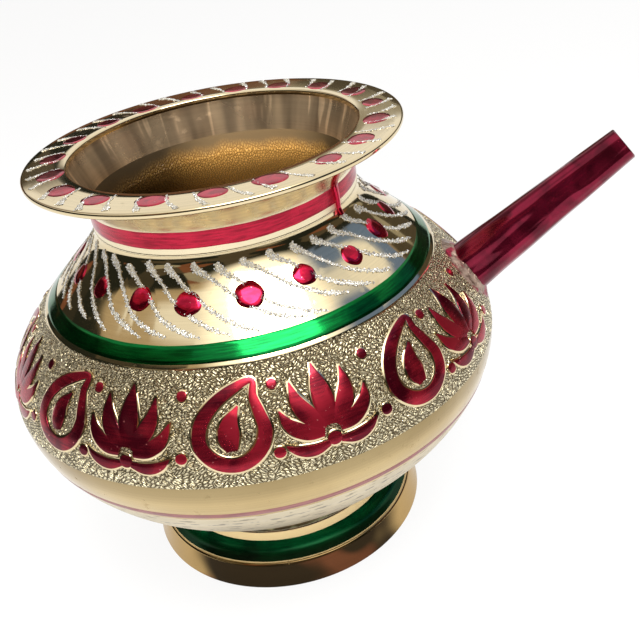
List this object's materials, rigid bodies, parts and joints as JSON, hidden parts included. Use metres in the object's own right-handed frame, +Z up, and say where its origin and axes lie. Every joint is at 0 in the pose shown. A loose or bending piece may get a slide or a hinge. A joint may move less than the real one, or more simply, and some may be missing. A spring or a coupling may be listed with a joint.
{
  "type": "karwa lota",
  "caption": "Round-bellied brass ritual pot with a wide flat mouth flange, a waisted neck, a foot ring and a straight rising side spout for pouring water.",
  "frame": {"origin": "on the table plane under the foot, at the middle of the plan box; the pot's own axis stands upright at x = -0.0175 m, y = 0", "axes": "+X along the spout's reach, +Y to the left of the spout seen from behind it, +Z up along the pot's axis"},
  "size_m": [0.16, 0.125, 0.111],
  "materials": {
    "polished_brass": "turned and polished, with bands of translucent lacquer",
    "braze_filler": "dull, slightly darkened",
    "maroon_lacquer": "glossy translucent maroon lacquer over brass",
    "red_lacquer": "glossy translucent red lacquer, in raised drops and bands",
    "green_lacquer": "glossy translucent green lacquer over brass",
    "silver_glitter": "fine silver glitter in a clear binder, in raised strokes"
  },
  "bodies": {
    "root": {"mouth_rim": "polished_brass", "neck_collar": "polished_brass", "shoulder_shell": "polished_brass", "lower_bowl": "polished_brass", "foot_ring": "polished_brass", "spout_tube": "maroon_lacquer", "spout_solder_bead": "maroon_lacquer", "rim_braze_fillet": "braze_filler", "neck_braze_fillet": "braze_filler", "belly_braze_fillet": "braze_filler", "foot_braze_bead": "braze_filler"}
  },
  "joints": []
}
